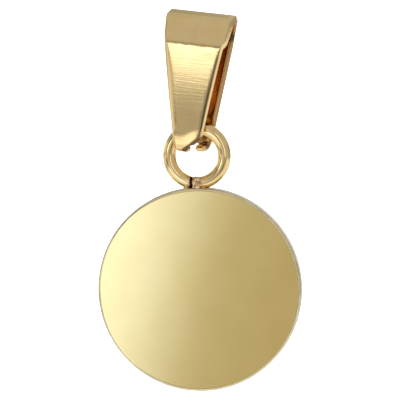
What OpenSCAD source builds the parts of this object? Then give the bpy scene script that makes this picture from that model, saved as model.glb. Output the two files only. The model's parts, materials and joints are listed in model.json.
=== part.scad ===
// Plain round disc pendant: a polished disc with a split wire ring on its edge, hanging in a folded bail.
// The disc faces -Y and hangs below the origin, which is where the chain bears under the bail's fold.

/* [Disc] */
// Diameter of the disc
disc_d = 15; // [12:0.5:20]
// Thickness of the disc
disc_t = 1.3; // [1:0.1:2]
// Radius that the polishing leaves on the disc's edges
disc_edge_r = 0.17; // [0.05:0.01:0.25]

/* [Ring] */
// Wire diameter of the ring
wire_d = 0.95; // [0.7:0.05:1.1]
// Radius of the ring, to the middle of its wire
ring_r = 2.03; // [1.9:0.01:2.4]
// How far the ring's wire is sunk into the disc's edge
ring_sink = 0.17; // [0.1:0.01:0.22]
// Width of the split that is left open between the wire's ends
split_w = 0.19; // [0.1:0.01:0.24]
// How far to the left of the ring's middle the split is
split_x = -0.44; // [-0.6:0.01:-0.44]

/* [Bail sheet] */
// Thickness of the bail's sheet
sheet_t = 0.55; // [0.45:0.01:0.65]
// Width of the sheet at the fold, its widest place
fold_w = 4.89; // [4.7:0.01:5.3]
// Depth below the fold's top down to which the sheet keeps its widest place
widest_down = 0.3; // [0.1:0.05:0.5]
// Width of the legs at the crease
crease_w = 4.34; // [4.2:0.01:4.6]
// Width of the legs at the shoulder above each tab
shoulder_w = 1.9; // [1.8:0.02:2.1]

/* [Bail height] */
// Height of the bail from the tabs to the top of the fold
bail_h = 10.18; // [10:0.02:10.4]
// Depth of the crease below the top of the fold
crease_down = 2.26; // [2:0.02:2.5]
// Depth of the shoulder below the top of the fold
shoulder_down = 9.04; // [8.9:0.02:9.2]

/* [Bail side] */
// Outer depth of the bail from front to back, at the fold
fold_depth = 2.4; // [2.3:0.05:2.6]
// Outer depth of the bail from front to back, at the tabs
foot_depth = 3.5; // [3.3:0.05:3.6]
// How far the front leg leans back above the crease, in degrees
crease_lean = 18.5; // [14:0.5:22]
// Outer radius of the fold's front corner
front_r = 0.9; // [0.8:0.05:1]
// Outer radius of the fold's back corner
back_r = 0.65; // [0.6:0.01:0.75]

/* [Tabs] */
// How far each tab reaches in from its leg's outer face
tab_reach = 1.29; // [1.25:0.01:1.33]
// How far short of the middle of the bail each tab's inner side stops
tab_short = 0.02; // [0:0.01:0.1]
// How far each tab's outer side is from the middle of the bail
tab_outer = 0.7; // [0.66:0.02:0.76]
// Depth below the top of the fold from which the tab keeps its width
tab_shoulder_down = 10; // [9.8:0.02:10.08]
// Outer radius of the bend between a leg and its tab
tab_bend_r = 0.6; // [0.58:0.01:0.7]

/* [Pose] */
// How far the bail is turned about its height against the disc, in degrees
bail_turn = -13.5; // [-15:0.5:0]
// How far the bail leans to the right, in degrees
bail_lean = 6.4; // [0:0.2:8]
// Where the ring's wire crosses the bail, to the right of the bail's middle
wire_x = 0.16; // [-0.2:0.02:0.3]
// Where the ring's wire crosses the bail, below the top of the fold
wire_down = 8.48; // [8.4:0.02:8.6]
// How far behind the middle of the gap between the legs the ring's wire crosses it
wire_back = 0.1; // [0:0.01:0.12]

/* [Hidden] */
gold = [0.85, 0.7, 0.36];
pale_gold = [0.9, 0.8, 0.52];
// Facet numbers of a full circle, for large and small rounds
round_fn = 96;
wire_fn = 48;
// Flats of each rounded corner of the bail's sheet
arc_steps = 8;
// How far a cutting shape passes beyond what it cuts, more than the back leg's splay
over = 1;
// How far the two halves of the bail's outline lap at its middle
half_lap = 0.1;

// How far in front of the middle of the fold's back corner the chain bears
chain_forward = 0.15;
// How much of the height above the crease the straight leaning stretch takes
lean_part = 0.7;

// The bail's side view is drawn in depth and height: [0, 0] is the front leg's plane and the fold's top
lean_run = lean_part * crease_down;
lean_dir = [sin(crease_lean), cos(crease_lean)];
lean_out = [-cos(crease_lean), sin(crease_lean)];
front_c = [0, -crease_down] + lean_run * lean_dir - front_r * lean_out;
back_c = [fold_depth - back_r, -back_r];
// Slope of the short flat between the two corners, tangent to both
between = back_c - front_c;
top_slope = acos((front_r - back_r) / norm(between)) - atan2(between.x, between.y);
// How far the back leg is splayed from upright
splay = atan((foot_depth - fold_depth) / (bail_h - back_r));
// Middles of the bends between the legs and their tabs
tab_z = tab_bend_r - bail_h;
front_bend_c = [tab_bend_r, tab_z];
back_bend_c = [back_c.x + (back_r - tab_bend_r) / cos(splay) + (back_c.y - tab_z) * tan(splay), tab_z];

// The wire's middle where it crosses the bail, before and after the bail is leaned and turned
chain_y = back_c.x - chain_forward;
wire_y = (fold_depth + (wire_down - back_r) * tan(splay)) / 2 + wire_back;
wire_local = [wire_x, wire_y - chain_y, sheet_t - wire_down];
function leaned(p) = [
    p.x * cos(bail_lean) + p.z * sin(bail_lean),
    p.y,
    p.z * cos(bail_lean) - p.x * sin(bail_lean)
];
function turned(p) = [
    p.x * cos(bail_turn) - p.y * sin(bail_turn),
    p.x * sin(bail_turn) + p.y * cos(bail_turn),
    p.z
];
wire_at = turned(leaned(wire_local));
ring_at = wire_at - [0, 0, ring_r];
disc_at = ring_at - [0, 0, ring_r + wire_d / 2 - ring_sink + disc_d / 2];

// Points of a round corner, from one angle to another
function arc(c, r, from, to) = [
    for (i = [0:arc_steps]) let (a = from + (to - from) * i / arc_steps) c + r * [cos(a), sin(a)]
];

// Outer or inner face of the folded sheet in side view, from the front tab's tip over the fold to the back
// tab's tip: inset is 0 for the outer face and the sheet's thickness for the inner one
function sheet_face(inset) = concat(
    [[tab_reach, inset - bail_h]],
    arc(front_bend_c, tab_bend_r - inset, 270, 180),
    [[inset, -crease_down - inset * tan(crease_lean / 2)]],
    arc(front_c, front_r - inset, 180 - crease_lean, 90 + top_slope),
    arc(back_c, back_r - inset, 90 + top_slope, splay),
    arc(back_bend_c, tab_bend_r - inset, splay, -90),
    [[foot_depth - tab_reach, inset - bail_h]]
);

function reversed(list) = [for (i = [len(list) - 1:-1:0]) list[i]];

// The folded sheet before its sides are cut to the taper
module folded_sheet() {
    rotate([90, 0, 90])
        translate([0, 0, -fold_w])
        linear_extrude(2 * fold_w)
        polygon(concat(sheet_face(0), reversed(sheet_face(sheet_t))));
}

// Front view of one leg: widest at the fold, narrow at the shoulder, then the tab at the left
module leg_front() {
    polygon([
        [-fold_w / 2, over],
        [-fold_w / 2, -widest_down],
        [-crease_w / 2, -crease_down],
        [-shoulder_w / 2, -shoulder_down],
        [-tab_outer, -tab_shoulder_down],
        [-tab_outer, -bail_h - over],
        [-tab_short, -bail_h - over],
        [-tab_short, -tab_shoulder_down],
        [shoulder_w / 2, -shoulder_down],
        [crease_w / 2, -crease_down],
        [fold_w / 2, -widest_down],
        [fold_w / 2, over]
    ]);
}

// What the taper leaves standing of the front half, from in front of the bail to just past its middle
module front_half() {
    translate([0, fold_depth / 2 + half_lap, 0])
        rotate([90, 0, 0])
        linear_extrude(fold_depth / 2 + half_lap + over)
        leg_front();
}

// The two legs are one shape turned half round, so the tabs pass each other side by side
module bail_sheet() {
    intersection() {
        folded_sheet();
        union() {
            front_half();
            translate([0, fold_depth, 0]) rotate([0, 0, 180]) front_half();
        }
    }
}

module bail() {
    color(gold)
        rotate([0, 0, bail_turn]) rotate([0, bail_lean, 0]) translate([0, -chain_y, sheet_t]) bail_sheet();
}

module disc() {
    edge_c = [disc_d / 2 - disc_edge_r, disc_t / 2 - disc_edge_r];
    rotate([90, 0, 0]) rotate_extrude($fn = 2 * round_fn) {
        translate([0, -disc_t / 2]) square([edge_c.x, disc_t]);
        translate([0, -edge_c.y]) square([disc_d / 2, 2 * edge_c.y]);
        translate([edge_c.x, edge_c.y]) circle(r = disc_edge_r, $fn = round_fn);
        translate([edge_c.x, -edge_c.y]) circle(r = disc_edge_r, $fn = round_fn);
    }
}

module split_ring() {
    difference() {
        rotate([90, 0, 0])
            rotate_extrude($fn = round_fn)
            translate([ring_r, 0])
            circle(d = wire_d, $fn = wire_fn);
        translate([split_x - split_w / 2, -wire_d, -ring_r - wire_d]) cube([split_w, 2 * wire_d, 2 * wire_d]);
    }
}

// The welds: two lumps of melted metal at the right of the split, and the left wire end's small foot.
// Each row is a lump's place from the ring's middle, then its radius.
weld_lumps = [
    [[0.16, -0.06, -2.05], 0.47],
    [[0.36, 0.06, -2.3], 0.4],
    [[-0.78, 0, -2.42], 0.24]
];

module welds() {
    for (lump = weld_lumps) translate(lump[0]) sphere(r = lump[1], $fn = wire_fn);
}

module disc_with_ring() {
    color(pale_gold) {
        translate(disc_at) disc();
        translate(ring_at) split_ring();
        translate(ring_at) welds();
    }
}

bail();
disc_with_ring();
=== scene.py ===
import json
import math
import bmesh
import bpy
from mathutils import Matrix, Vector, noise


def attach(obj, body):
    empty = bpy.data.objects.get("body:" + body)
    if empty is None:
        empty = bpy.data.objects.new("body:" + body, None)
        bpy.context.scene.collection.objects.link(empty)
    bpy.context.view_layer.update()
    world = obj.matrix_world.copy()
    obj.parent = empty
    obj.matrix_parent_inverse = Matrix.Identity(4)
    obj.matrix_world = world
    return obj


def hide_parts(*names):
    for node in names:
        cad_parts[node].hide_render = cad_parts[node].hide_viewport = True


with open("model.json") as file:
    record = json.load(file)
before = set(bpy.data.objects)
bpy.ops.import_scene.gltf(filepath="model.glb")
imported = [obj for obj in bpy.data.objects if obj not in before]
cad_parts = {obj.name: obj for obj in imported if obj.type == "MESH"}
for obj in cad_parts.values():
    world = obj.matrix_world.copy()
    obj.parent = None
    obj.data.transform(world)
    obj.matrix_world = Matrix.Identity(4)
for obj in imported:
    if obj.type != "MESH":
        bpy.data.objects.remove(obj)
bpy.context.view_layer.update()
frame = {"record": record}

# Bail
# The bail is one strip of gold-coloured sheet, widest in the middle. It is punched as a flat blank, tumbled
# so that its edges are round, brushed across, creased, folded over, and closed by a tab bent in at each end.
# Lengths here and below are in millimetres, and each finished mesh is brought to metres.
MM = 0.001
sheet_t = 0.55
bail_h = 10.18
fold_depth, foot_depth = 2.4, 3.5
crease_down, crease_lean, crease_r = 2.26, math.radians(18.5), 1.1
front_r, back_r = 0.9, 0.65
tab_reach, tab_bend_r = 1.29, 0.6
lean_part, chain_forward = 0.7, 0.15
bail_turn, bail_lean = math.radians(-13.5), math.radians(6.4)
# Outline of one leg: its tab's tip, left and right, then from the tab up the depth below the fold's top and
# the left and right sides. The round edges hide part of the width, so the legs are cut a little wide. The
# front tab's right side is cut wider still, and the back tab's left side narrower.
tip_left, tip_right = -0.74, -0.02
tab_wider, tab_narrower = 0.13, 0.05
shoulder_down, shoulder_right, half_fold_w = 9.04, 1.2, 2.445
leg_rows = [
    (10.0, -0.84, -0.02),
    (shoulder_down, -1.07, shoulder_right),
    (crease_down, -2.30, 2.27),
    (0.30, -2.53, 2.49),
]
tab_corner_r, shoulder_r, corner_steps = 0.2, 0.3, 5
# Radius and steps of the sheet's tumbled edges, and how far in from a side the mesh gives way to wider ones
tumbled_r, tumbled_steps, tumbled_reach = 0.25, 8, 1.1
# How many times wider than deep the tumbled edge is on the front leg's left and right side: at the leg's ends,
# how much more halfway, at the fold and at the tab. Then the same for both sides of the back leg.
worn_left, worn_right, worn_back = (1.5, 1.7, 0.3, 1.0), (0.9, 0.5, 0.2, 1.5), 1.2
# The front leg bulges forward a little between the crease and the shoulder. It leans in above its tab by this
# slope, over this length at its left side and this much more at its right side, with a soft start. The soft
# start is a part of that length, and the two sides are told apart between these places.
leg_bulge, curl_slope, curl_len, curl_skew = 0.1, 0.14, 0.72, 0.6
curl_soft, skew_from, skew_to = 0.4, -0.3, 0.9
# The fold and the tabs stand out a little past true bends. The fold does so over these lengths at its front and
# back end, and each tab beyond this length of its tip.
fold_proud, proud_rise, proud_fall = 0.06, 0.6, 0.8
tab_proud, tab_flat = 0.08, 0.3
# Above the crease the sheet's squeezed inner side spreads out past its left and right edge, and less at the
# back. It does so from this far inside the edge.
spread_left, spread_right, spread_back, spread_in = 0.08, 0.23, 0.08, 0.5
# The crease wanders by this much, in waves of about this many to a millimetre. What changes at the crease does so
# over these lengths before and after it.
crease_wander, wander_waves, crease_before, crease_after = 0.25, 1.2, 0.3, 0.4
# Depths below the fold's top where the fold starts at the front, in its front corner, where it ends at the back,
# and where the front leg starts to bend into its tab
fold_front_down, corner_down, fold_back_down, bend_down = 1.3, 0.7, 0.9, 9.58


def polar(angle, r=1.0):
    return Vector((math.cos(angle), math.sin(angle))) * r


quarter, half = math.pi / 2, math.pi
lean_out = polar(half - crease_lean)
lean_dir = Vector((math.sin(crease_lean), math.cos(crease_lean)))
front_c = Vector((0, -crease_down)) + lean_dir * lean_part * crease_down - lean_out * front_r
back_c = Vector((fold_depth - back_r, -back_r))
between = back_c - front_c
top_slope = math.acos((front_r - back_r) / between.length) - math.atan2(between.x, between.y)
splay = math.atan((foot_depth - fold_depth) / (bail_h - back_r))
tab_z = tab_bend_r - bail_h
crease_c = Vector((crease_r, -crease_down - crease_r * math.tan(crease_lean / 2)))
back_bend_x = back_c.x + (back_r - tab_bend_r) / math.cos(splay) + (back_c.y - tab_z) * math.tan(splay)
# The bends in side view, as depth and height, from the front tab's tip over the fold to the back tab's tip:
# the middle, the outer radius, and the angles that the outer face turns between. The sheet is straight between.
bends = [
    (Vector((tab_reach, -bail_h)), 0, 3 * quarter, 3 * quarter),
    (Vector((tab_bend_r, tab_z)), tab_bend_r, 3 * quarter, half),
    (crease_c, crease_r, half, half - crease_lean),
    (front_c, front_r, half - crease_lean, quarter + top_slope),
    (back_c, back_r, quarter + top_slope, splay),
    (Vector((back_bend_x, tab_z)), tab_bend_r, splay, -quarter),
    (Vector((foot_depth - tab_reach, -bail_h)), 0, -quarter, -quarter),
]
# Each stretch holds where it starts and ends along the sheet, and gives the outer face's point and direction
stretches, along = [], 0.0
for (c0, r0, _, a0), (c1, r1, a1, a2) in zip(bends, bends[1:]):
    run_from, run_to = c0 + polar(a0, r0), c1 + polar(a1, r1)
    run = (run_to - run_from).length
    stretches.append((along, along + run, lambda t, s=run_from, e=run_to, a=a1: (s.lerp(e, t), a)))
    along += run
    turn = r1 * abs(a2 - a1)
    if turn:
        stretches.append((along, along + turn, lambda t, c=c1, r=r1, a=a1, b=a2: (
            c + polar(a + (b - a) * t, r), a + (b - a) * t)))
        along += turn
sheet_len = along


def on_sheet(along):
    """The outer face's point in side view and its outward direction, at a length along the sheet."""
    first, last, place = next(s for s in stretches if along <= s[1] + 1e-6)
    return place((along - first) / (last - first))


def along_at(down, back=False):
    """Length along the sheet where the front or the back leg reaches a depth below the fold's top."""
    marks = [sheet_len * i / 4000 for i in range(4001)]
    return next(s for s in (marks[::-1] if back else marks) if -on_sheet(s)[0].y <= down)


def ease(value, low, high):
    """Goes smoothly from 0 to 1 between two values."""
    t = min(max((value - low) / (high - low), 0.0), 1.0)
    return t * t * (3 - 2 * t)


# The same places, and the shoulder and the crease, as lengths along the sheet
bend_at, shoulder_at, crease_at = along_at(bend_down), along_at(shoulder_down), along_at(crease_down)
fold_from, round_at, fold_to = along_at(fold_front_down), along_at(corner_down), along_at(fold_back_down, back=True)


def leg_bow(along, x):
    """How far the sheet stands out past true flats and bends."""
    up = (along - shoulder_at) / (crease_at - shoulder_at)
    bulge = leg_bulge * math.sin(math.pi * min(max(up, 0.0), 1.0))
    rise, fall = ease(along, round_at, round_at + proud_rise), ease(along, fold_to - proud_fall, fold_to)
    bulge += fold_proud * rise * (1 - fall)
    bulge += tab_proud * (1 - ease(min(along, sheet_len - along), tab_flat, bend_at))
    lean_len = curl_len + curl_skew * ease(x, skew_from, skew_to)
    if along > bend_at:
        left = max(1 - (along - bend_at) / lean_len, 0.0)
        curl = left - curl_soft / 2 if left > curl_soft else left * left / (2 * curl_soft)
        return bulge - curl_slope * lean_len * curl
    t = along / bend_at
    curl = (1 - curl_soft / 2) * lean_len * ease(t, 0, 1) + bend_at * (t * t - t * t * t)
    return bulge - curl_slope * curl


def place_bail(x, point):
    """From the bail's own axes to the frame, whose origin is where the chain bears under the fold."""
    local = Vector((x, point.x - back_c.x + chain_forward, point.y + sheet_t))
    return Matrix.Rotation(bail_turn, 3, "Z") @ Matrix.Rotation(bail_lean, 3, "Y") @ local


merge_dist = 0.0005


def solid_object(bm, name):
    """Brings a finished mesh to metres and makes it a smooth-shaded object at the origin."""
    bmesh.ops.remove_doubles(bm, verts=bm.verts[:], dist=merge_dist)
    bmesh.ops.recalc_face_normals(bm, faces=bm.faces[:])
    bmesh.ops.scale(bm, vec=(MM, MM, MM), verts=bm.verts[:])
    mesh = bpy.data.meshes.new(name)
    bm.to_mesh(mesh)
    bm.free()
    mesh.shade_smooth()
    obj = bpy.data.objects.new(name, mesh)
    bpy.context.scene.collection.objects.link(obj)
    return obj


def flat_faces_lead(obj):
    """Lets the large flats set the shading at their borders, so that a flat stays flat up to its round edge."""
    shade = obj.modifiers.new("flat_faces_lead", "WEIGHTED_NORMAL")
    shade.weight = 100


def blank_side(near_tip, near, far_tip, far):
    """A long side of the blank from tip to tip, from a column of the leg's rows and the other leg's column."""
    return [(near_tip, 0)] + [(row[near], along_at(row[0])) for row in leg_rows] + [
        (-row[far], along_at(row[0], back=True)) for row in reversed(leg_rows)] + [(-far_tip, sheet_len)]


def side_at(side, along):
    """How far a long side of the blank is from its middle, at a length along it."""
    (x0, s0), (x1, s1) = next(pair for pair in zip(side, side[1:]) if along <= pair[1][1] + 1e-6)
    return x0 + (x1 - x0) * (along - s0) / (s1 - s0)


def worn(along, ends, halfway, fold, tab):
    """How many times wider than deep the tumbled edge is, at a length along the sheet."""
    if along > (fold_from + fold_to) / 2:
        return fold + (worn_back - fold) * ease(along, fold_to, fold_to + 1)
    up = (along - shoulder_at) / (crease_at - shoulder_at)
    leg = ends + halfway * math.sin(math.pi * min(max(up, 0.0), 1.0))
    leg += (fold - leg) * ease(along, crease_at - crease_before, crease_at + crease_after)
    return tab + (leg - tab) * ease(along, shoulder_at - 0.2, shoulder_at + 1)


left_side, right_side = blank_side(tip_left, 1, tip_right, 2), blank_side(tip_right, 2, tip_left, 1)
right_side[:2] = [(x + tab_wider, along) for x, along in right_side[:2]]
left_side[-2:] = [(x + tab_narrower, along) for x, along in left_side[-2:]]
bm = bmesh.new()
bm.faces.new([bm.verts.new((x, along, 0)) for x, along in left_side + right_side[::-1]])
tips = [v for v in bm.verts if v.co.y in (0, sheet_len)]
shoulders = [v for v in bm.verts if abs(abs(v.co.x) - shoulder_right) < 0.01]
for corners, r in ((shoulders, shoulder_r), (tips, tab_corner_r)):
    bmesh.ops.bevel(
        bm, geom=corners, offset=r, segments=corner_steps, profile=0.5, affect="VERTICES", material=-1)
raised = bmesh.ops.extrude_face_region(bm, geom=bm.faces[:])["geom"]
bmesh.ops.translate(bm, vec=(0, 0, -sheet_t), verts=[v for v in raised if isinstance(v, bmesh.types.BMVert)])
rims = [e for e in bm.edges if abs(e.verts[0].co.z - e.verts[1].co.z) < 0.01]
bmesh.ops.bevel(
    bm, geom=rims, offset=tumbled_r, segments=tumbled_steps, profile=0.5, affect="EDGES", material=-1)
# The blank is cut across into short rows, closer where it bends, and along into columns
row_len, row_turn, column_w, columns_out = 0.2, 5, 0.25, 8
cuts = []
for first, last, place in stretches:
    turn = math.degrees(abs(place(1)[1] - place(0)[1]))
    rows = max(round(turn / row_turn), round((last - first) / row_len), 1)
    cuts += [((0, first + (last - first) * i / rows, 0), (0, 1, 0)) for i in range(rows + 1)]
cuts += [((i * column_w, 0, 0), (1, 0, 0)) for i in range(-columns_out, columns_out + 1)]
for at, across in cuts:
    bmesh.ops.bisect_plane(
        bm, geom=bm.verts[:] + bm.edges[:] + bm.faces[:], dist=merge_dist, plane_co=at, plane_no=across)


def painted_shade_marks(x, along, depth):
    """Painted shade at a point of the flat blank: brown on its inside, and near black in a few places."""
    deep = -depth / sheet_t
    behind = ease(along, fold_from, fold_to)
    inside = ease(deep, 0.75 - 0.45 * behind, 1.0 - 0.25 * behind)
    # The painted shade stops short of the back tab's tip, and a painted shadow darkens the nook behind it
    inside *= 1 - ease(along, sheet_len - 0.3, sheet_len - 0.2)
    nook = 0.6 * inside * ease(along, sheet_len - 2.4, sheet_len - 1.6)
    edge_only = 0.5 * inside * behind * (1 - ease(deep, 0.8, 1.0))
    # A spot of painted shade sits where the tight fold ends at the back
    spot = ease(along, fold_to + 0.15, fold_to + 0.4) * (1 - ease(along, fold_to + 0.8, fold_to + 1.2))
    spot *= ease(deep, 0.1, 0.4)
    # Painted shade lines the front leg's right edge beside the brushed face, and darkens all that edge above the
    # tab
    from_right = side_at(right_side, along) - x
    edge_shade = (1 - ease(from_right, 0.2, 0.32)) * (1 - ease(along, crease_at - 0.9, crease_at - 0.1))
    line = (0.85 - 0.4 * ease(along, shoulder_at, crease_at)) * edge_shade
    line *= ease(from_right, 0.03, 0.12) * (1 - ease(deep, 0.3, 0.5))
    low = ease(along, 0.5, 0.9) * (1 - ease(along, shoulder_at - 0.05, shoulder_at + 0.35))
    cut = 0.9 * edge_shade * low * (1 - ease(deep, 0.8, 1.0))
    return inside, max(edge_only, nook, spot, line, cut)


def wear_edges(x, along):
    """Moves a point of the blank sideways, so that the round edges get their worn widths."""
    for side, inward, wear in ((left_side, 1, worn_left), (right_side, -1, worn_right)):
        edge = side_at(side, along)
        from_edge = (x - edge) * inward
        if from_edge < tumbled_reach:
            worn_r = tumbled_r * worn(along, *wear)
            inner = max(from_edge - tumbled_r, 0) * (tumbled_reach - worn_r) / (tumbled_reach - tumbled_r)
            x = edge + inward * (min(from_edge, tumbled_r) * worn_r / tumbled_r + inner)
    return x


def spread_edges(x, along, depth):
    """Moves a point sideways where the squeezed inner side of the sheet spreads out above the crease."""
    spread = spread_right if x > 0 else spread_left
    spread *= ease(along, crease_at - crease_before, crease_at + crease_after)
    spread *= 1 - ease(along, fold_from, fold_to)
    spread += spread_back * ease(along, fold_from, fold_to) * (1 - ease(along, fold_to, fold_to + 0.8))
    near_edge = ease(abs(x), half_fold_w - spread_in, half_fold_w)
    return x + math.copysign(spread * near_edge * -depth / sheet_t, x)


def crease_shift(x, along):
    """How far along the sheet the wandering crease shifts a point near it."""
    before = ease(along, crease_at - 0.8, crease_at - 0.2)
    after = ease(along, crease_at + 0.2, crease_at + 0.8)
    wander = noise.fractal(Vector((x * wander_waves, 0, 4)), 1.0, 2.0, 3)
    return crease_wander * before * (1 - after) * wander


blank_unit = 10
# A second UV map keeps each point's painted shade from the flat blank
blank_map, painted_shade_map = [bm.loops.layers.uv.new(name) for name in ("blank", "depth")]
for face in bm.faces:
    for loop in face.loops:
        x, along, depth = loop.vert.co
        loop[blank_map].uv = x / blank_unit, along / blank_unit
        loop[painted_shade_map].uv = painted_shade_marks(x, along, depth)
for v in bm.verts:
    x, along, depth = v.co
    x = spread_edges(wear_edges(x, along), along, depth)
    point, out_angle = on_sheet(along + crease_shift(x, along))
    v.co = place_bail(x, point + polar(out_angle, depth + leg_bow(along, x)))
bail = solid_object(bm, "folded_bail")
flat_faces_lead(bail)


class Shade:
    """A socket of a node tree. Arithmetic on it adds Math nodes, and node() adds any other node."""

    def __init__(self, tree, socket=None):
        self.tree, self.socket = tree, socket

    def node(self, kind, settings=None, inputs=None, out=0):
        made = self.tree.nodes.new(kind)
        for name, value in (settings or {}).items():
            if name == "stops":
                points = made.color_ramp.elements
                while len(points) < len(value):
                    points.new(1.0)
                for point, (at, tone) in zip(points, value):
                    point.position, point.color = at, (tone, tone, tone, 1.0)
            else:
                setattr(made, name, value)
        for name, value in (inputs or {}).items():
            if isinstance(value, Shade):
                self.tree.links.new(value.socket, made.inputs[name])
            else:
                made.inputs[name].default_value = value
        return Shade(self.tree, made.outputs[out] if len(made.outputs) else None)

    def math(self, operation, *values):
        return self.node("ShaderNodeMath", {"operation": operation}, dict(enumerate(values)))

    def smooth(self, low, high):
        """Goes smoothly from 0 to 1 between two values."""
        return self.node("ShaderNodeMapRange", {"interpolation_type": "SMOOTHSTEP"}, {
            "Value": self, "From Min": low, "From Max": high})

    def __add__(self, other):
        return self.math("ADD", self, other)

    def __radd__(self, other):
        return self.math("ADD", other, self)

    def __sub__(self, other):
        return self.math("SUBTRACT", self, other)

    def __rsub__(self, other):
        return self.math("SUBTRACT", other, self)

    def __mul__(self, other):
        return self.math("MULTIPLY", self, other)

    def __rmul__(self, other):
        return self.math("MULTIPLY", other, self)


def new_material(name):
    """An empty material, and a Shade to build its nodes with."""
    material = bpy.data.materials.new(name)
    material.use_nodes = True
    material.node_tree.nodes.clear()
    return material, Shade(material.node_tree)


def finish_metal(tree, colour, roughness, normal):
    surface = tree.node("ShaderNodeBsdfPrincipled", {}, {
        "Metallic": 1.0, "Base Color": colour, "Roughness": roughness, "Normal": normal})
    tree.node("ShaderNodeOutputMaterial", {}, {"Surface": surface})


def brushed_gold():
    """Gold-coloured plating over brush lines that run across the blank, with a soft cloudy tarnish and painted
    shade.
    """
    material, tree = new_material("brushed_gold")
    blank = tree.node("ShaderNodeUVMap", {"uv_map": "blank"})
    place = tree.node("ShaderNodeTexCoord", out=3)
    strokes = tree.node("ShaderNodeMapping", {}, {"Vector": blank, "Scale": (2.5, 80.0, 1.0)})
    lines = tree.node("ShaderNodeTexNoise", {}, {
        "Vector": strokes, "Scale": 1.0, "Detail": 3.0, "Roughness": 0.6})
    cloud = tree.node("ShaderNodeTexNoise", {}, {"Vector": place, "Scale": 700.0, "Detail": 3.0})
    grain = tree.node("ShaderNodeTexNoise", {}, {"Vector": place, "Scale": 9000.0, "Detail": 2.0})
    bump = tree.node("ShaderNodeBump", {}, {
        "Height": lines + grain * 0.15, "Strength": 1.0, "Distance": 0.0000038})
    tone = tree.node("ShaderNodeMix", {"data_type": "RGBA"}, {
        0: cloud.smooth(0.3, 0.7), 6: (0.92, 0.67, 0.31, 1.0), 7: (0.96, 0.72, 0.35, 1.0)}, out=2)
    # Painted shade: the sheet's inside is mixed toward brown, and its shaded rims and nooks toward near black
    painted_shade_amounts = tree.node("ShaderNodeUVMap", {"uv_map": "depth"})
    for out, painted_shade_tone in ((0, (0.69, 0.42, 0.17, 1.0)), (1, (0.1, 0.055, 0.02, 1.0))):
        amount = tree.node("ShaderNodeSeparateXYZ", {}, {"Vector": painted_shade_amounts}, out=out)
        tone = tree.node("ShaderNodeMix", {"data_type": "RGBA"}, {0: amount, 6: tone, 7: painted_shade_tone}, out=2)
    finish_metal(tree, tone, 0.1 + lines * 0.08, bump)
    return material


bail.data.materials.append(brushed_gold())
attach(bail, "bail")
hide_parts("bail")

# Disc
# The disc is a thick round blank cut from plate, with both faces polished to a mirror. Its rim and the fine
# rounded line round each face are only tumbled, so they are duller.
disc_r, disc_t, disc_edge_r, edge_steps, disc_steps = 7.5, 1.3, 0.17, 8, 192
wire_at = Vector(frame["record"]["behaviour"]["joints"][0]["pos_m"]) / MM
ring_r, wire_r, ring_sink = 2.03, 0.475, 0.17
ring_at = wire_at - Vector((0, 0, ring_r))
disc_at = ring_at - Vector((0, 0, ring_r + wire_r - ring_sink + disc_r))

bm = bmesh.new()
half_side = [(0, -disc_t / 2), (disc_r - 1.5 * disc_edge_r, -disc_t / 2), (disc_r, -disc_t / 2), (disc_r, 0)]
section = [bm.verts.new((x, y, 0)) for x, y in half_side + [(x, -y) for x, y in half_side[2::-1]]]
for a, b in zip(section, section[1:]):
    bm.edges.new((a, b))
bmesh.ops.bevel(
    bm, geom=[section[2], section[4]], offset=disc_edge_r, segments=edge_steps, profile=0.5, affect="VERTICES",
    material=-1)
bmesh.ops.spin(
    bm, geom=bm.verts[:] + bm.edges[:], cent=(0, 0, 0), axis=(0, 1, 0), angle=2 * math.pi, steps=disc_steps,
    use_merge=True)
for face in bm.faces:
    centre = face.calc_center_median()
    face.material_index = int(math.hypot(centre.x, centre.z) > disc_r - disc_edge_r)
bmesh.ops.translate(bm, vec=disc_at, verts=bm.verts[:])
disc = solid_object(bm, "polished_disc")
flat_faces_lead(disc)


def polished_gold():
    """Pale gold-coloured plating polished to a mirror, with a faint haze of fine buffing marks."""
    material, tree = new_material("polished_gold")
    place = tree.node("ShaderNodeTexCoord", out=3)
    haze = tree.node("ShaderNodeTexNoise", {}, {"Vector": place, "Scale": 350.0, "Detail": 4.0})
    buffing = tree.node("ShaderNodeMapping", {}, {
        "Vector": place, "Rotation": (0, 0.5, 0), "Scale": (300.0, 300.0, 12000.0)})
    marks = tree.node("ShaderNodeTexNoise", {}, {"Vector": buffing, "Scale": 1.0, "Detail": 4.0})
    bump = tree.node("ShaderNodeBump", {}, {"Height": marks, "Strength": 1.0, "Distance": 0.00000008})
    tone = tree.node("ShaderNodeMix", {"data_type": "RGBA"}, {
        0: haze.smooth(0.35, 0.65), 6: (0.885, 0.66, 0.237, 1.0), 7: (0.912, 0.682, 0.255, 1.0)}, out=2)
    finish_metal(tree, tone, 0.04 + marks * 0.03, bump)
    return material


def tumbled_gold():
    """Duller, paler plating on the disc's tumbled rim."""
    material, tree = new_material("tumbled_gold")
    place = tree.node("ShaderNodeTexCoord", out=3)
    wear = tree.node("ShaderNodeTexNoise", {}, {"Vector": place, "Scale": 1500.0, "Detail": 3.0})
    bump = tree.node("ShaderNodeBump", {}, {"Height": wear, "Strength": 1.0, "Distance": 0.000002})
    tone = tree.node("ShaderNodeMix", {"data_type": "RGBA"}, {
        0: wear.smooth(0.35, 0.65), 6: (0.72, 0.62, 0.4, 1.0), 7: (0.82, 0.72, 0.48, 1.0)}, out=2)
    finish_metal(tree, tone, 0.22 + wear * 0.1, bump)
    return material


disc.data.materials.append(polished_gold())
disc.data.materials.append(tumbled_gold())
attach(disc, "drop")
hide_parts("disc_with_ring")

# Split ring
# The ring is round wire bent to a circle and sunk a little into the disc's edge. Its ends almost meet at the foot,
# a little left of its middle, and are cut square, with their faces painted near black as shade in the split.
split_x, split_w, split_flare = -0.44, 0.23, 0.03
wire_sides, ring_steps = 40, 160
split_angle, split_turn = math.asin(-split_x / ring_r), split_w / ring_r

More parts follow.
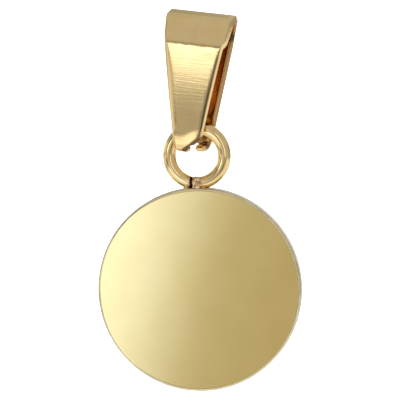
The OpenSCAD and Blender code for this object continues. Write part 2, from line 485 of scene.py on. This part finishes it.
bm = bmesh.new()
end_turn = Matrix.Rotation(split_angle + split_turn / 2, 4, "Y")
start = end_turn @ Matrix.Translation((0, 0, -ring_r)) @ Matrix.Rotation(quarter, 4, "Y")
bmesh.ops.create_circle(bm, cap_ends=True, segments=wire_sides, radius=wire_r, matrix=start)
bmesh.ops.spin(
    bm, geom=bm.faces[:] + bm.edges[:] + bm.verts[:], cent=(0, 0, 0), axis=(0, 1, 0),
    angle=2 * math.pi - split_turn, steps=ring_steps)
bmesh.ops.holes_fill(bm, edges=[e for e in bm.edges if e.is_boundary])
# The end faces take the second material, painted near black as shade in the split
cut_faces = [f for f in bm.faces if len(f.verts) > 4]
for f in cut_faces:
    f.material_index = 1
    side = 1 if f.calc_center_median().x > split_x else -1
    for v in f.verts:
        flare = split_flare * (-ring_r - v.co.z) / wire_r
        v.co.x = split_x + side * (split_w / 2 + max(flare, -split_flare))
bmesh.ops.translate(bm, vec=ring_at, verts=bm.verts[:])
ring = solid_object(bm, "split_ring")


def drawn_gold():
    """Gold-coloured plating on drawn wire, with the die's faint marks."""
    material, tree = new_material("drawn_gold")
    place = tree.node("ShaderNodeTexCoord", out=3)
    marks = tree.node("ShaderNodeTexNoise", {}, {"Vector": place, "Scale": 1800.0, "Detail": 3.0})
    bump = tree.node("ShaderNodeBump", {}, {"Height": marks, "Strength": 1.0, "Distance": 0.000004})
    tone = tree.node("ShaderNodeMix", {"data_type": "RGBA"}, {
        0: marks.smooth(0.35, 0.65), 6: (0.91, 0.66, 0.29, 1.0), 7: (0.95, 0.71, 0.33, 1.0)}, out=2)
    finish_metal(tree, tone, 0.07 + marks * 0.06, bump)
    return material


def slit_shade_metal():
    """Metal painted near black as the shade inside the split, on its cut faces and its neck."""
    material, tree = new_material("slit_shade_metal")
    place = tree.node("ShaderNodeTexCoord", out=3)
    soot = tree.node("ShaderNodeTexNoise", {}, {"Vector": place, "Scale": 9000.0, "Detail": 3.0})
    bump = tree.node("ShaderNodeBump", {}, {"Height": soot, "Strength": 1.0, "Distance": 0.00002})
    tone = tree.node("ShaderNodeMix", {"data_type": "RGBA"}, {
        0: soot.smooth(0.4, 0.7), 6: (0.03, 0.008, 0.012, 1.0), 7: (0.16, 0.07, 0.04, 1.0)}, out=2)
    finish_metal(tree, tone, 0.5 + soot * 0.3, bump)
    return material


def weld_metal():
    """Bright melted beads, painted brown as shade in the hollows of their bump."""
    material, tree = new_material("weld_metal")
    place = tree.node("ShaderNodeTexCoord", out=3)
    bump_and_shade = tree.node("ShaderNodeTexNoise", {}, {"Vector": place, "Scale": 3200.0, "Detail": 2.0})
    bump = tree.node("ShaderNodeBump", {}, {"Height": bump_and_shade, "Strength": 1.0, "Distance": 0.00003})
    # The bump's low places are painted brown as shade
    tone = tree.node("ShaderNodeMix", {"data_type": "RGBA"}, {
        0: bump_and_shade.smooth(0.38, 0.6), 6: (0.5, 0.28, 0.11, 1.0), 7: (0.97, 0.76, 0.46, 1.0)}, out=2)
    finish_metal(tree, tone, 0.1 + bump_and_shade * 0.1, bump)
    return material


wire_gold, slit_shade = drawn_gold(), slit_shade_metal()
ring.data.materials.append(wire_gold)
ring.data.materials.append(slit_shade)
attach(ring, "drop")
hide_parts("disc_with_ring")

# Weld
# The ring is spot welded to the disc: melted beads run over the wire's right end and down on to the disc's
# edge, and a small foot holds its left end. Places are from the ring's middle, with each bead's radius.
beads = [
    ((-0.12, -0.29, -1.72), 0.22),
    ((0.10, -0.30, -1.74), 0.14),
    ((0.02, -0.41, -1.96), 0.15),
    ((0.25, -0.41, -2.05), 0.22),
    ((-0.17, -0.42, -2.24), 0.18),
    ((0.06, -0.46, -2.26), 0.14),
    ((-0.10, -0.50, -2.46), 0.15),
    ((0.20, -0.50, -2.42), 0.15),
    ((0.42, -0.46, -2.38), 0.12),
    ((0.08, 0.08, -2.28), 0.38),
    ((0.30, 0.08, -2.32), 0.28),
    ((-0.70, -0.26, -2.12), 0.23),
    ((-0.74, -0.14, -2.38), 0.21),
    ((-0.90, -0.05, -2.40), 0.18),
    ((-0.70, -0.38, -2.40), 0.15),
]
# The beads are melted into one skin of this fineness, then made uneven by this much, in lumps this fine
bead_voxel, bead_uneven, bead_lumps = 0.022, 0.03, 8
bm = bmesh.new()
for centre, r in beads:
    bmesh.ops.create_icosphere(bm, subdivisions=3, radius=r, matrix=Matrix.Translation(centre))
bead_mesh = bpy.data.meshes.new("beads")
bm.to_mesh(bead_mesh)
bm.free()
beads_apart = bpy.data.objects.new("beads", bead_mesh)
bpy.context.scene.collection.objects.link(beads_apart)
melt = beads_apart.modifiers.new("melt", "REMESH")
melt.mode, melt.voxel_size = "VOXEL", bead_voxel
bm = bmesh.new()
bm.from_object(beads_apart, bpy.context.evaluated_depsgraph_get())
bpy.data.objects.remove(beads_apart)
for _ in range(2):
    bmesh.ops.smooth_vert(bm, verts=bm.verts[:], factor=0.5, use_axis_x=True, use_axis_y=True, use_axis_z=True)
bm.normal_update()
for v in bm.verts:
    v.co += v.normal * bead_uneven * noise.fractal(v.co * bead_lumps, 1.0, 2.0, 3)
bmesh.ops.translate(bm, vec=ring_at, verts=bm.verts[:])
weld = solid_object(bm, "weld")
weld.data.materials.append(weld_metal())
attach(weld, "drop")
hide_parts("disc_with_ring")

# Bridge of the split
# Behind the split the two wire ends run together in a neck of weld, a little thinner than the wire and painted near
# black as shade in the split, so no light comes through.
neck_r, neck_back, neck_lap, neck_sides, neck_steps = 0.43, 0.03, 0.08, 24, 8
bm = bmesh.new()
neck_turn = Matrix.Rotation(split_angle - split_turn / 2 - neck_lap, 4, "Y")
start = neck_turn @ Matrix.Translation((0, neck_back, -ring_r)) @ Matrix.Rotation(quarter, 4, "Y")
bmesh.ops.create_circle(bm, cap_ends=True, segments=neck_sides, radius=neck_r, matrix=start)
bmesh.ops.spin(
    bm, geom=bm.faces[:] + bm.edges[:] + bm.verts[:], cent=(0, 0, 0), axis=(0, 1, 0),
    angle=split_turn + 2 * neck_lap, steps=neck_steps)
bmesh.ops.holes_fill(bm, edges=[e for e in bm.edges if e.is_boundary])
bmesh.ops.translate(bm, vec=ring_at, verts=bm.verts[:])
neck = solid_object(bm, "split_neck")
# The neck is painted near black as shade in the split
neck.data.materials.append(slit_shade)
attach(neck, "drop")
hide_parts("disc_with_ring")

# Studio
# A pale round floor under the hanging pendant, a soft card in front of it for the disc's polished face, and
# a tent of soft light around. The card doesn't show to the camera, and the tent shows plain white.


def stage_object(bm, name, material):
    """Brings a stage mesh to metres and makes it an object with its material, not attached to any body."""
    bmesh.ops.scale(bm, vec=(MM, MM, MM), verts=bm.verts[:])
    mesh = bpy.data.meshes.new(name)
    bm.to_mesh(mesh)
    bm.free()
    mesh.materials.append(material)
    obj = bpy.data.objects.new(name, mesh)
    bpy.context.scene.collection.objects.link(obj)
    return obj


floor_r, floor_z, fade_from = 100, -45, 0.7
floor_paint, tree = new_material("pale_floor")
place = tree.node("ShaderNodeTexCoord", out=3)
from_middle = tree.node("ShaderNodeVectorMath", {"operation": "LENGTH"}, {0: place}, out=1)
paint = tree.node("ShaderNodeBsdfPrincipled", {}, {
    "Base Color": (0.86, 0.86, 0.86, 1.0), "Roughness": 0.7,
    "Emission Color": (1.0, 1.0, 1.0, 1.0), "Emission Strength": 0.45})
clear = tree.node("ShaderNodeBsdfTransparent")
edge = from_middle.smooth(fade_from * floor_r * MM, floor_r * MM)
tree.node("ShaderNodeOutputMaterial", {}, {
    "Surface": tree.node("ShaderNodeMixShader", {}, {0: edge, 1: paint, 2: clear})})
bm = bmesh.new()
bmesh.ops.create_circle(
    bm, cap_ends=True, segments=96, radius=floor_r, matrix=Matrix.Translation((0, 0, floor_z)))
stage_object(bm, "floor", floor_paint)

# The card's light falls off from its left to its right, along a line that leans like the photo's. It is cool
# light on top of the tent's neutral light, so the brightest part of the disc is also the palest.
card_half_w, card_half_h, card_at, card_lean = 10.8, 9, (-6.4, -40, -24), 0.28
card_left, card_right = -6.6, 8.35
card_light, tree = new_material("card_light")
place = tree.node("ShaderNodeTexCoord", out=3)
leaned = tree.node("ShaderNodeVectorMath", {"operation": "DOT_PRODUCT"}, {0: place, 1: (1, 0, -card_lean)}, out=1)
across = (leaned * (1 / MM) - card_left) * (1 / (card_right - card_left))
fall = tree.node("ShaderNodeValToRGB", {"stops": [
    (0.0, 0.98), (0.12, 0.82), (0.25, 0.62), (0.42, 0.335), (0.5, 0.21), (0.58, 0.12), (0.67, 0.07), (1.0, 0.0)]},
    {0: across})
light = tree.node("ShaderNodeEmission", {}, {"Color": (0.4, 0.54, 1.0, 1.0), "Strength": fall * 1.8})
clear = tree.node("ShaderNodeBsdfTransparent")
tree.node("ShaderNodeOutputMaterial", {}, {"Surface": tree.node("ShaderNodeAddShader", {}, {0: light, 1: clear})})
bm = bmesh.new()
bmesh.ops.create_grid(bm, x_segments=1, y_segments=1, size=1)
bmesh.ops.scale(bm, vec=(card_half_w, card_half_h, 1), verts=bm.verts[:])
bmesh.ops.rotate(bm, cent=(0, 0, 0), matrix=Matrix.Rotation(quarter, 3, "X"), verts=bm.verts[:])
bmesh.ops.translate(bm, vec=card_at, verts=bm.verts[:])
card = stage_object(bm, "card", card_light)
card.visible_camera = card.visible_shadow = False

world = bpy.data.worlds.new("tent")
bpy.context.scene.world = world
world.use_nodes = True
world.node_tree.nodes.clear()
tent = Shade(world.node_tree)
toward = tent.node("ShaderNodeTexCoord", out=0)
x, y, z = [tent.node("ShaderNodeSeparateXYZ", {}, {"Vector": toward}, out=i) for i in range(3)]
degrees = 180 / math.pi
around = tent.math("ARCTAN2", x, 0 - y) * degrees
above = tent.math("ARCSINE", z) * degrees


def patch(left, right, low, high, soft):
    """1 within a window of the tent, in degrees around from the front and above the horizon, and 0 outside."""
    wide = around.smooth(left - soft, left + soft) - around.smooth(right - soft, right + soft)
    tall = above.smooth(low - soft, low + soft) - above.smooth(high - soft, high + soft)
    return wide * tall


# Each window's left, right, lower and upper side, the softness of its sides, and what it adds to the tent
windows = [
    (-44, -27, -0.1, 12, 1.6, 1.55),
    (-31, -20, -8, -1, 1.5, 0.25),
    (-76, -57, -8, -2, 1.2, 0.2),
    (-50, -20, -16, -4, 2.5, -0.12),
    (-60, -18, -60, -16, 3, 0.8),
    (-68, -43, -17, -5.6, 1.2, -0.2),
    (-62, -44, 1, 32, 3, -0.2),
    (-102, -68, -17, -5.6, 1.5, 0.35),
    (-125, -66, 3, 18, 3, 0.3),
    (-175, -62, 22, 50, 4, -0.12),
    (-76, -38, -5, -1, 0.8, 0.24),
    (-175, -102, -17, 18, 4, 0.26),
    (-60, -14, 12, 25, 4, -0.2),
    (-60, -10, 28, 60, 4, 0.03),
    (-16, 27, -35, -12, 3, -0.3),
    (8, 48, -14, -6, 1.5, -0.14),
    (2.5, 11.5, -12, 10, 2, -0.25),
    (13, 26, -5.5, 22, 1.5, 0.85),
    (-14, 4, 10, 22, 2.5, 0.75),
    (50, 135, -40, -11, 4, 0.42),
    (85, 150, -9, 15, 4, -0.14),
    (150, 180, -40, 40, 4, 0.2),
]
tent_level, seen_level = 0.52, 2.0
level = tent_level
for left, right, low, high, soft, strength in windows:
    level = level + patch(left, right, low, high, soft) * strength
# The brightest windows are a little cooler
cool = tent.node("ShaderNodeMix", {"data_type": "RGBA"}, {
    0: level.smooth(1.0, 2.2), 6: (1.0, 1.0, 1.0, 1.0), 7: (0.78, 0.88, 1.0, 1.0)}, out=2)
seen = tent.node("ShaderNodeLightPath", out=0)
ground = tent.node("ShaderNodeBackground", {}, {"Color": cool, "Strength": level + seen * (seen_level - level)})
tent.node("ShaderNodeOutputWorld", {}, {"Surface": ground})
bpy.context.scene.view_settings.view_transform = "Standard"

# Camera
# The photo looks from the object's right and a little above, with a long lens, and the picture is turned
# slightly. The camera stands as far off as gives the photo's scale.
azimuth, elevation, roll = math.radians(7.0), math.radians(4.7), math.radians(-1.41)
aim = Vector((-0.48, 0.0, -13.17))
photo_w, px_per_mm, lens_mm, sensor_mm = 400, 13.64, 400, 36
distance = photo_w / px_per_mm * lens_mm / sensor_mm
right = Vector((math.cos(azimuth), math.sin(azimuth), 0))
level_back = Vector((math.sin(azimuth), -math.cos(azimuth), 0))
back = level_back * math.cos(elevation) + Vector((0, 0, math.sin(elevation)))
up = back.cross(right)
right, up = right * math.cos(roll) + up * math.sin(roll), up * math.cos(roll) - right * math.sin(roll)
camera_data = bpy.data.cameras.new("camera")
camera_data.lens, camera_data.sensor_width = lens_mm, sensor_mm
camera_data.clip_start, camera_data.clip_end = 0.01, 10
camera = bpy.data.objects.new("camera", camera_data)
turned = Matrix((right, up, back)).transposed().to_4x4()
camera.matrix_world = Matrix.Translation((aim + back * distance) * MM) @ turned
bpy.context.scene.collection.objects.link(camera)
bpy.context.scene.camera = camera
